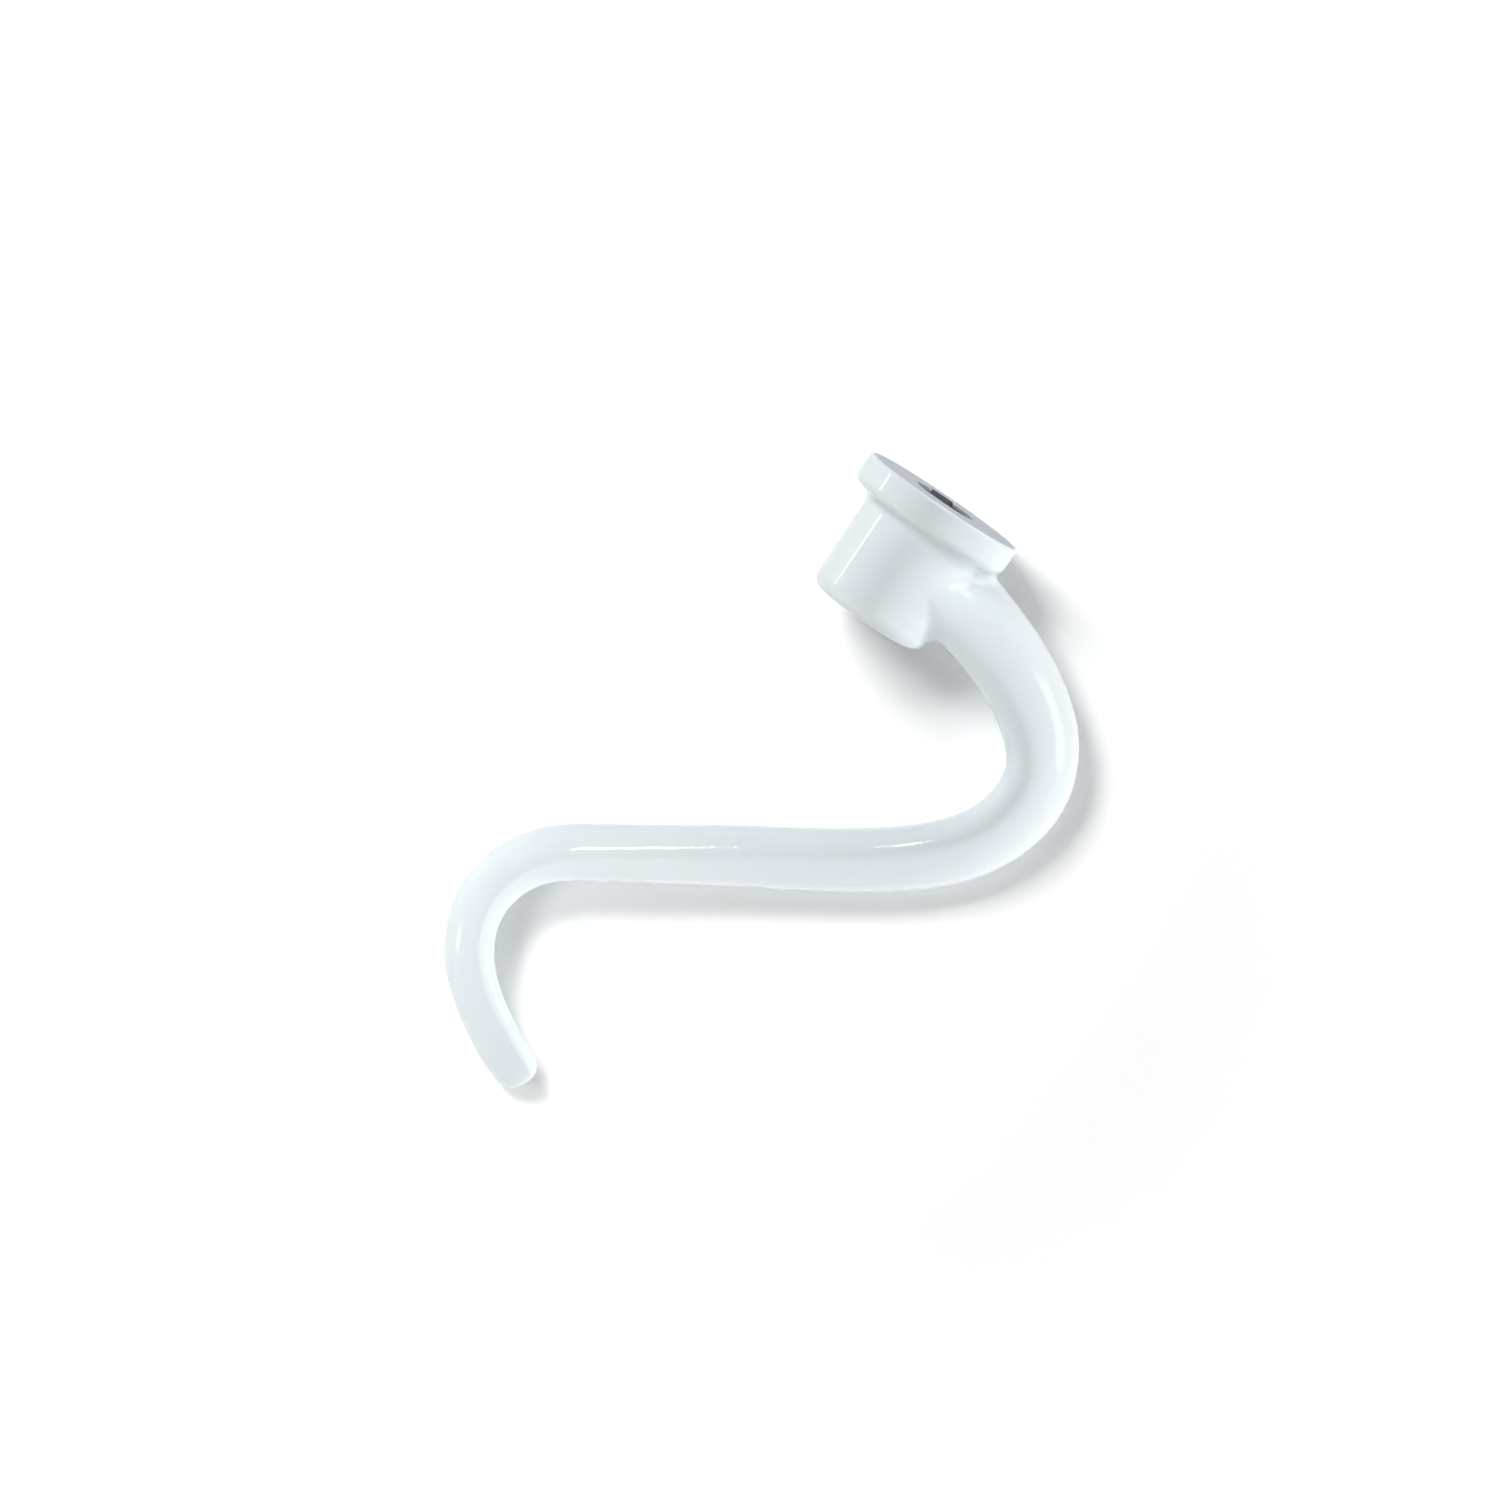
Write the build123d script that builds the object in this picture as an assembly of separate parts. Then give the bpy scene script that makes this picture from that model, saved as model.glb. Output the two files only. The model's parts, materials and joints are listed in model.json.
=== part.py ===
from build123d import *
import os
from math import cos, exp, pi, radians, sin, tan

from scipy.optimize import linprog

os.makedirs("parts", exist_ok=True)

# A stand mixer's dough hook: one aluminium casting, coated white. A round hub slides on the mixer's
# drive shaft, and a tapering arm leaves its side, bends back under it and ends in a curled tail.
# It is drawn with the hub's axis along Y, the shaft entering at the origin from +Y, and the arm in
# the XY plane with its shoulder on the +X side. All sizes are in millimetres and degrees.

# Hub and the flange round its mouth
HUB_HEIGHT = 29.3
HUB_TOP_RADIUS = 13.9
HUB_FOOT_RADIUS = 13.4
HUB_FOOT_ROUND = 3.0
FLANGE_RADIUS = 18.2
FLANGE_RIM = 6.0
FLANGE_SLOPE = 20.0
FLANGE_TOP_ROUND = 0.8
FLANGE_FOOT_ROUND = 1.8
FLANGE_COVE = 2.1

# Socket for the drive shaft, with the bayonet groove that catches the shaft's cross pin
SHAFT_DIAMETER = 12.7
SHAFT_CLEARANCE = 0.15
SOCKET_DEPTH = 24.0
SOCKET_CHAMFER = 0.5
PIN_DIAMETER = 4.8
PIN_REACH = 3.4
PIN_CLEARANCE = 0.3
PIN_DEPTH = 14.0
PIN_TURN = 30.0

# Centreline of the arm, as distances from the hub's axis (X) and from its mouth (Y)
ARM_ROOT = (0.0, -12.6)
SHOULDER = (22.0, -17.6)
BEND_TOP = (37.5, -24.2)
BEND_SIDE = (48.7, -36.2)
BEND_LOW = (47.8, -51.3)
BEND_FOOT = (35.0, -66.5)
RUN_MIDDLE = (6.5, -84.9)
RUN_END = (-16.8, -99.6)
HEEL_TOP = (-29.0, -109.4)
HEEL = (-32.8, -122.8)
HEEL_FOOT = (-24.6, -137.6)
TAIL = (-12.3, -145.6)
TIP = (-3.8, -149.1)
ROOT_HEADING = (1.0, -0.15)
TIP_HEADING = (1.0, -0.38)

# Section of the arm: a soft oval with a low crest along its upper and its lower side
ROOT_WIDTH = 17.9
TIP_WIDTH = 9.95
TAPER_POWER = 1.25
DEPTH_RATIO = 0.96
ROOT_COVER = 0.4
ROOT_FLARE = 13.0
ROOT_CREST = 2.0
TIP_CREST = 1.25
CREST_OFFSET_ROOT = -0.42
CREST_OFFSET_TIP = 0.65
CREST_SHIFT_POWER = 2.0
ROOT_BLEND = 3.0
TIP_ROUND = 4.2

# How finely the arm's skin is laid through its sections, and how finely the floor is felt for
SECTION_POINTS = 16
ARM_STATIONS = 24
STATION_SPREAD = 1.5
TIP_STATIONS = 5
FLOOR_FEEL = 0.02


def make_hub():
    """The tapering round hub, from the mouth to its rounded foot."""
    outline = Polyline(
        (0, 0),
        (-HUB_TOP_RADIUS, 0),
        (-HUB_FOOT_RADIUS, -HUB_HEIGHT),
        (0, -HUB_HEIGHT),
        close=True,
    )
    hub = revolve(make_face(outline), Axis.Y)
    return fillet(hub.edges().filter_by(GeomType.CIRCLE).sort_by(Axis.Y)[0], HUB_FOOT_ROUND)


def make_flange():
    """The flange round the mouth, with an underside that slopes down to the hub."""
    outline = Polyline(
        (0, 0),
        (-FLANGE_RADIUS, 0),
        (-FLANGE_RADIUS, -FLANGE_RIM),
        (0, -FLANGE_RIM - FLANGE_RADIUS * tan(radians(FLANGE_SLOPE))),
        close=True,
    )
    flange = revolve(make_face(outline), Axis.Y)
    flange = fillet(flange.edges().filter_by(GeomType.CIRCLE).sort_by(Axis.Y)[0], FLANGE_FOOT_ROUND)
    return fillet(flange.edges().filter_by(GeomType.CIRCLE).sort_by(Axis.Y)[-1], FLANGE_TOP_ROUND)


def arm_width(share):
    """Width of the arm in its own plane at a share of its length."""
    return TIP_WIDTH + (ROOT_WIDTH - TIP_WIDTH) * (1 - share) ** TAPER_POWER


def arm_depth(share, distance):
    """Depth of the arm across its plane. Towards its root it flares until it nearly fills the hub."""
    hub_radius = HUB_TOP_RADIUS + (HUB_TOP_RADIUS - HUB_FOOT_RADIUS) * ARM_ROOT[1] / HUB_HEIGHT
    root_depth = 2 * (hub_radius - ROOT_COVER)
    flare = (root_depth - ROOT_WIDTH * DEPTH_RATIO) * exp(-((distance / ROOT_FLARE) ** 2))
    return arm_width(share) * DEPTH_RATIO + flare


def crested(value, power):
    """An oval's coordinate for a cosine. A power below two draws the oval's top up into a crest."""
    size = abs(value) ** (2 / power)
    return size if value > 0 else -size


def arm_section(centreline, distance, inset):
    """A section of the arm: an oval with a crest, sheared so that the crest lies off the middle."""
    share = distance / centreline.length
    offset = CREST_OFFSET_ROOT + (CREST_OFFSET_TIP - CREST_OFFSET_ROOT) * share**CREST_SHIFT_POWER
    half_width = (arm_width(share) / 2 - inset) / (1 + offset**2) ** 0.5
    half_depth = arm_depth(share, distance) / 2 - inset
    power = ROOT_CREST + (TIP_CREST - ROOT_CREST) * share
    points = []
    for index in range(SECTION_POINTS):
        angle = 2 * pi * (index + 0.5) / SECTION_POINTS
        across = crested(cos(angle), power)
        up = sin(angle)
        points.append(Vector(half_width * (across + offset * up), half_depth * up))
    knots = [index / SECTION_POINTS for index in range(SECTION_POINTS + 1)]
    skin = Edge.make_spline(points, periodic=True, parameters=knots)
    heading = centreline.tangent_at(distance, PositionMode.LENGTH)
    frame = Plane(
        origin=centreline.position_at(distance, PositionMode.LENGTH),
        x_dir=Vector(0, 0, 1).cross(heading),
        z_dir=heading,
    )
    return frame * make_face(skin)


def make_arm():
    """The tapering arm, from inside the hub to its blunt rounded tip."""
    waypoints = [ARM_ROOT, SHOULDER, BEND_TOP, BEND_SIDE, BEND_LOW, BEND_FOOT, RUN_MIDDLE]
    waypoints += [RUN_END, HEEL_TOP, HEEL, HEEL_FOOT, TAIL, TIP]
    centreline = Spline(waypoints, tangents=[ROOT_HEADING, TIP_HEADING])
    plain_length = centreline.length - TIP_ROUND
    sections = []
    for index in range(ARM_STATIONS):
        distance = plain_length * (index / ARM_STATIONS) ** STATION_SPREAD
        sections.append(arm_section(centreline, distance, 0))
    for index in range(TIP_STATIONS + 1):
        turn = pi / 2 * index / TIP_STATIONS
        distance = plain_length + TIP_ROUND * sin(turn)
        sections.append(arm_section(centreline, distance, TIP_ROUND * (1 - cos(turn))))
    return loft(sections)


def make_socket():
    """What is cut from the hub: the shaft's bore, its chamfer, and the pin's groove, which goes
    down the lower wall of the bore and then turns to one side."""
    bore_radius = SHAFT_DIAMETER / 2 + SHAFT_CLEARANCE
    outline = Polyline(
        (0, 0),
        (-bore_radius - SOCKET_CHAMFER, 0),
        (-bore_radius, -SOCKET_CHAMFER),
        (-bore_radius, -SOCKET_DEPTH),
        (0, -SOCKET_DEPTH),
        close=True,
    )
    bore = revolve(make_face(outline), Axis.Y)
    reach = SHAFT_DIAMETER / 2 + PIN_REACH + PIN_CLEARANCE
    width = PIN_DIAMETER + 2 * PIN_CLEARANCE
    foot = PIN_DEPTH + width / 2
    outwards = (Align.CENTER, Align.MAX, Align.MAX)
    entry = Box(width, foot, 2 * reach, align=outwards)
    seat = Rot(0, PIN_TURN, 0) * Pos(0, width - foot, 0) * Box(width, width, 2 * reach, align=outwards)
    side = Plane.YZ * Pos(-foot + width / 2, -reach) * Rectangle(width, 2 * reach)
    turn = revolve(side, Axis.Y, revolution_arc=PIN_TURN)
    groove = (entry + turn + seat) & Rot(90, 0, 0) * Cylinder(reach, 2 * foot)
    return bore + groove


def is_root(edge):
    """True for the edge where the arm meets the bare hub."""
    return edge.geom_type == GeomType.BSPLINE and edge.center().Y > -HUB_HEIGHT


def make_hook():
    """The whole casting, in the frame of its hub."""
    body = make_hub() + make_arm()
    body = fillet(body.edges().filter_by(is_root), ROOT_BLEND)
    body = body + make_flange()
    underside = body.faces().filter_by(GeomType.CONE).sort_by(Axis.Y)[-1]
    rim = underside.edges().sort_by(SortBy.LENGTH)[-1]
    inner = underside.edges().filter_by(lambda edge: edge.geom_type != GeomType.LINE and edge != rim)
    body = fillet(inner, FLANGE_COVE)
    return body - make_socket()


def resting_place(solid):
    """The move that lays the solid on the floor as it comes to rest, with the middle of its
    bounding box over the origin. The floor is the highest plane that passes below the solid at its
    centre of mass."""
    points, _ = solid.tessellate(FLOOR_FEEL)
    centre = solid.center()
    floor = linprog(
        c=[-centre.X, -centre.Y, -1],
        A_ub=[[point.X, point.Y, 1] for point in points],
        b_ub=[point.Z for point in points],
        bounds=(None, None),
    )
    slope_x, slope_y, height = floor.x
    plane = Plane(origin=(0, 0, height), x_dir=(1, 0, slope_x), z_dir=(-slope_x, -slope_y, 1))
    lay = plane.location.inverse()
    box = (lay * solid).bounding_box()
    return Pos(-box.center().X, -box.center().Y, -box.min.Z) * lay


hook = make_hook()
resting = resting_place(hook)
export_step(resting * hook, "parts/dough_hook.step")
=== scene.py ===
import json
from math import cos, radians, sin

import bpy
from mathutils import Euler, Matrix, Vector

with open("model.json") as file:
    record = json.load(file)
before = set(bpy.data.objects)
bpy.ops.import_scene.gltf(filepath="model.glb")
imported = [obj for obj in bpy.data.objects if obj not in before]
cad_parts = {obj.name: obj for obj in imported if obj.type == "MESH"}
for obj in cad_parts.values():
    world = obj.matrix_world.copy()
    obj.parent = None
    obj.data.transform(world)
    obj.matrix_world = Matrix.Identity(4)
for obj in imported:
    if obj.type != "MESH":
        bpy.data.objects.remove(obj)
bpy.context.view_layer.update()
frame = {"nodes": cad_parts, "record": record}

# The photograph looks straight down on the hook through a long lens. Lengths are in metres, but for
# the lens and the sensor, which are in millimetres.
CAMERA_HEIGHT = 2.0
CAMERA_X = -0.0135
CAMERA_Y = 0.0098
CAMERA_TURN = radians(34.3)
CAMERA_REACH = 20.0
LENS = 230.6
SENSOR = 36.0

# Where the photograph's right and up lie on the floor
RIGHT = Vector((cos(CAMERA_TURN), sin(CAMERA_TURN), 0))
UP = Vector((-sin(CAMERA_TURN), cos(CAMERA_TURN), 0))

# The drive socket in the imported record, and the middle of its mouth, above the bore and its chamfer
SOCKET = frame["record"]["mounts"][0]
BORE_LENGTH = SOCKET["dims"]["length_mm"] / 1000
BORE_CHAMFER = 0.0005
AXIS = Vector(SOCKET["axis"])
MOUTH = Vector(SOCKET["pos_m"]) + AXIS * (BORE_LENGTH / 2 + BORE_CHAMFER)

# Depths below the mouth and a radius round the axis, which part the coating from the bare metal in the
# bore, dark with painted shade, and from the mouth's face, grey with painted shade
FACE_DEPTH = 0.00003
SHADED_BARE_TOP = 0.0001
SHADED_BARE_BOTTOM = 0.0245
SHADED_BARE_RADIUS = 0.0106

# The middle of the hook and its tail, which the lamps look at
MIDDLE_HEIGHT = 0.015
TAIL_LEFT = 0.05
TAIL_DOWN = 0.035
MIDDLE = Vector((CAMERA_X, CAMERA_Y, MIDDLE_HEIGHT))
TAIL = MIDDLE - RIGHT * TAIL_LEFT - UP * TAIL_DOWN
LAMP_DISTANCE = 1.0
OPEN_SPREAD = 180

# The paper's own glow rises from near the hook to the open floor. The white walls light it faintly.
FLOOR_SIZE = 6.0
PAPER_WHITE = (0.96, 0.96, 0.96, 1)
NEAR_GLOW = 0.07
GLOW_START = 0.09
GLOW_END = 0.5
FULL_WHITE = 1.0
AMBIENT = 0.06

# How fine the patterns on the surfaces are, as their noise's scale, and how high the coat's grain is
TINT_SCALE = 45.0
GRAIN_SCALE = 700.0
GRAIN_STRENGTH = 0.1
GRAIN_HEIGHT = 0.0001
SHADE_MOTTLE_SCALE = 300.0


def make_camera():
    """The camera over the hook, turned so that the hub leans to the right as in the photograph."""
    data = bpy.data.cameras.new("camera")
    data.lens = LENS
    data.sensor_width = SENSOR
    data.clip_end = CAMERA_REACH
    camera = bpy.data.objects.new("camera", data)
    camera.location = (CAMERA_X, CAMERA_Y, CAMERA_HEIGHT)
    camera.rotation_euler = Euler((0, 0, CAMERA_TURN))
    bpy.context.scene.collection.objects.link(camera)
    bpy.context.scene.camera = camera


def direction(right, up, elevation):
    """The direction to a lamp, from the photograph's right and up and an elevation in degrees."""
    level = (RIGHT * right + UP * up).normalized()
    return level * cos(radians(elevation)) + Vector((0, 0, sin(radians(elevation))))


def make_lamp(name, towards, power, size, target=MIDDLE, distance=LAMP_DISTANCE, spread=OPEN_SPREAD):
    """A soft box that looks at the hook. It is hidden from the camera and from the hook's gloss."""
    data = bpy.data.lights.new(name, "AREA")
    data.shape = "RECTANGLE"
    data.size, data.size_y = size
    data.energy = power
    data.spread = radians(spread)
    lamp = bpy.data.objects.new(name, data)
    lamp.visible_camera = False
    lamp.visible_glossy = False
    lamp.location = target + towards * distance
    lamp.rotation_mode = "QUATERNION"
    lamp.rotation_quaternion = (-towards).to_track_quat("-Z", "Y")
    bpy.context.scene.collection.objects.link(lamp)
    return lamp


def make_spark(name, towards, power, size):
    """A lamp that does show in the hook's gloss, as a highlight."""
    lamp = make_lamp(name, towards, power, size)
    lamp.visible_glossy = True


def make_soft_boxes():
    """The lamps that light the hook's sides: a key from the upper left, two low walls of light on
    the right and near sides, and a small fill over the tail."""
    make_lamp("key", direction(right=-0.57, up=0.82, elevation=50), power=9.1, size=(0.38, 0.38))
    make_lamp("right_wall", direction(right=0.966, up=-0.259, elevation=5), power=10.6, size=(0.9, 0.12))
    make_lamp(
        "near_wall",
        direction(right=0.1, up=-1.0, elevation=4),
        power=1.2,
        size=(0.5, 0.09),
        distance=0.45,
    )
    make_lamp(
        "tail_fill",
        direction(right=-0.95, up=-0.3, elevation=55),
        power=0.022,
        size=(0.08, 0.08),
        target=TAIL,
        distance=0.21,
        spread=60,
    )


def make_sparks():
    """The lamps that give the photograph's highlights on the hub, the tail, the run and the bend."""
    make_spark("hub_spark", direction(right=-0.86, up=0.511, elevation=5.4), power=0.3, size=(0.2, 0.04))
    make_spark("tail_spark", direction(right=-0.98, up=-0.19, elevation=19), power=0.4, size=(0.2, 0.16))
    make_spark("run_spark", direction(right=-0.01, up=1.0, elevation=58.5), power=0.45, size=(0.06, 0.08))
    make_spark("bend_spark", direction(right=1.0, up=0.0, elevation=8.5), power=1.4, size=(0.6, 0.28))


def add_node(tree, kind, **inputs):
    """A new node with some of its inputs set. In an input's name an underscore stands for a space."""
    node = tree.nodes.new(kind)
    for key, value in inputs.items():
        node.inputs[key.replace("_", " ")].default_value = value
    return node


def new_material(name):
    """A material with an empty node tree, and the input that its finished shader goes to."""
    material = bpy.data.materials.new(name)
    material.use_nodes = True
    tree = material.node_tree
    tree.nodes.clear()
    output = add_node(tree, "ShaderNodeOutputMaterial")
    return material, tree, output.inputs["Surface"]


def seen_directly(tree):
    """One for the camera's own rays and those that a shiny or clear surface sends on, else nought."""
    path = add_node(tree, "ShaderNodeLightPath")
    seen = path.outputs["Is Camera Ray"]
    for ray in ("Is Glossy Ray", "Is Transmission Ray"):
        either = add_node(tree, "ShaderNodeMath")
        either.operation = "MAXIMUM"
        tree.links.new(seen, either.inputs[0])
        tree.links.new(path.outputs[ray], either.inputs[1])
        seen = either.outputs["Value"]
    return seen


def distance_from_origin(tree):
    """How far a point on the floor is from the middle of the hook's box."""
    place = add_node(tree, "ShaderNodeNewGeometry")
    distance = add_node(tree, "ShaderNodeVectorMath")
    distance.operation = "LENGTH"
    tree.links.new(place.outputs["Position"], distance.inputs[0])
    return distance.outputs["Value"]


def make_white_paper():
    """Paper that keeps the hook's shadow, and glows to the camera and in reflections: a little near
    the hook and fully far from it, so that the open paper is white."""
    material, tree, surface = new_material("white_paper")
    paper = add_node(tree, "ShaderNodeBsdfDiffuse", Color=PAPER_WHITE)
    level = add_node(
        tree,
        "ShaderNodeMapRange",
        From_Min=GLOW_START,
        From_Max=GLOW_END,
        To_Min=NEAR_GLOW,
        To_Max=FULL_WHITE,
    )
    tree.links.new(distance_from_origin(tree), level.inputs["Value"])
    share = add_node(tree, "ShaderNodeMath")
    share.operation = "MULTIPLY"
    tree.links.new(seen_directly(tree), share.inputs[0])
    tree.links.new(level.outputs["Result"], share.inputs[1])
    glow = add_node(tree, "ShaderNodeEmission")
    tree.links.new(share.outputs["Value"], glow.inputs["Strength"])
    both = add_node(tree, "ShaderNodeAddShader")
    tree.links.new(paper.outputs["BSDF"], both.inputs[0])
    tree.links.new(glow.outputs["Emission"], both.inputs[1])
    tree.links.new(both.outputs["Shader"], surface)
    return material


def make_floor():
    """The white floor that the hook lies on."""
    bpy.ops.mesh.primitive_plane_add(size=FLOOR_SIZE)
    floor = bpy.context.object
    floor.name = "floor"
    floor.data.materials.append(make_white_paper())


def make_world():
    """White walls far off, which the camera and reflections see, and a faint even light from them."""
    world = bpy.data.worlds.new("studio")
    world.use_nodes = True
    tree = world.node_tree
    strength = add_node(tree, "ShaderNodeMapRange", To_Min=AMBIENT, To_Max=FULL_WHITE)
    tree.links.new(seen_directly(tree), strength.inputs["Value"])
    background = tree.nodes["Background"]
    background.inputs["Color"].default_value = (1, 1, 1, 1)
    tree.links.new(strength.outputs["Result"], background.inputs["Strength"])
    bpy.context.scene.world = world


def add_noise(tree, scale, detail):
    """A noise that is fixed to the hook."""
    place = add_node(tree, "ShaderNodeTexCoord")
    noise = add_node(tree, "ShaderNodeTexNoise", Scale=scale, Detail=detail)
    tree.links.new(place.outputs["Object"], noise.inputs["Vector"])
    return noise.outputs["Fac"]


def drift_colour(tree, shader, noise, dark, light):
    """Lets a shader's colour drift between two tints with a noise."""
    tint = add_node(tree, "ShaderNodeMix")
    tint.data_type = "RGBA"
    tint.inputs["A"].default_value = dark
    tint.inputs["B"].default_value = light
    tree.links.new(noise, tint.inputs["Factor"])
    tree.links.new(tint.outputs["Result"], shader.inputs["Base Color"])


def make_coat(name, dark, light, smooth, rough, specular):
    """A sprayed coating: its tint and gloss drift a little, and its skin is faintly uneven."""
    material, tree, surface = new_material(name)
    shader = add_node(tree, "ShaderNodeBsdfPrincipled", Specular_IOR_Level=specular)
    drift = add_noise(tree, TINT_SCALE, detail=3.0)
    drift_colour(tree, shader, drift, dark, light)
    gloss = add_node(tree, "ShaderNodeMapRange", To_Min=smooth, To_Max=rough)
    tree.links.new(drift, gloss.inputs["Value"])
    tree.links.new(gloss.outputs["Result"], shader.inputs["Roughness"])
    grain = add_noise(tree, GRAIN_SCALE, detail=1.0)
    bump = add_node(tree, "ShaderNodeBump", Strength=GRAIN_STRENGTH, Distance=GRAIN_HEIGHT)
    tree.links.new(grain, bump.inputs["Height"])
    tree.links.new(bump.outputs["Normal"], shader.inputs["Normal"])
    tree.links.new(shader.outputs["BSDF"], surface)
    return material


def make_white_coating():
    """The glossy white coat on the casting."""
    return make_coat(
        "white_coating",
        dark=(0.59, 0.645, 0.67, 1),
        light=(0.62, 0.675, 0.695, 1),
        smooth=0.08,
        rough=0.13,
        specular=0.5,
    )


def make_mouth_painted_shade():
    """A duller coat on the face round the socket's mouth, its greyer tint painted shade, as the face
    turns away from the lamps.
    """
    return make_coat(
        "mouth_painted_shade",
        # This darker, greyer tint is painted shade of the face turned away from the lamps.
        dark=(0.38, 0.4, 0.45, 1),
        light=(0.43, 0.455, 0.5, 1),
        smooth=0.6,
        rough=0.75,
        specular=0.3,
    )


def make_shaded_bare_metal():
    """The machined aluminium in the bore, dull, and dark partly in its own grey and partly as painted
    shade of the deep bore.
    """
    material, tree, surface = new_material("shaded_bare_metal")
    shader = add_node(tree, "ShaderNodeBsdfPrincipled", Metallic=1.0, Roughness=0.45)
    shade_mottle = add_noise(tree, SHADE_MOTTLE_SCALE, detail=4.0)
    # The bore's two dark tones are partly the metal's own grey and partly painted shade of the deep bore.
    drift_colour(tree, shader, shade_mottle, dark=(0.16, 0.17, 0.18, 1), light=(0.3, 0.31, 0.33, 1))
    tree.links.new(shader.outputs["BSDF"], surface)
    return material


def paint(hook):
    """The coating on the casting, its duller coat on the mouth's face, greyed as painted shade, and bare
    metal in the bore, darkened as painted shade.
    """
    materials = hook.data.materials
    materials.clear()
    for material in (make_white_coating(), make_mouth_painted_shade(), make_shaded_bare_metal()):
        materials.append(material)
    mouth_painted_shade = materials.find("mouth_painted_shade")
    shaded_bare_metal = materials.find("shaded_bare_metal")
    for face in hook.data.polygons:
        reach = hook.matrix_world @ face.center - MOUTH
        depth = -reach.dot(AXIS)
        radius = (reach + AXIS * depth).length
        # The bore's faces take the dark bare metal and the mouth's face the grey coat, both darkened as
        # painted shade.
        if SHADED_BARE_TOP < depth < SHADED_BARE_BOTTOM and radius < SHADED_BARE_RADIUS:
            face.material_index = shaded_bare_metal
        elif depth < FACE_DEPTH:
            face.material_index = mouth_painted_shade


make_camera()
make_floor()
make_world()
make_soft_boxes()
make_sparks()

hook = frame["nodes"]["dough_hook"]
paint(hook)

bpy.context.scene.view_settings.view_transform = "Standard"
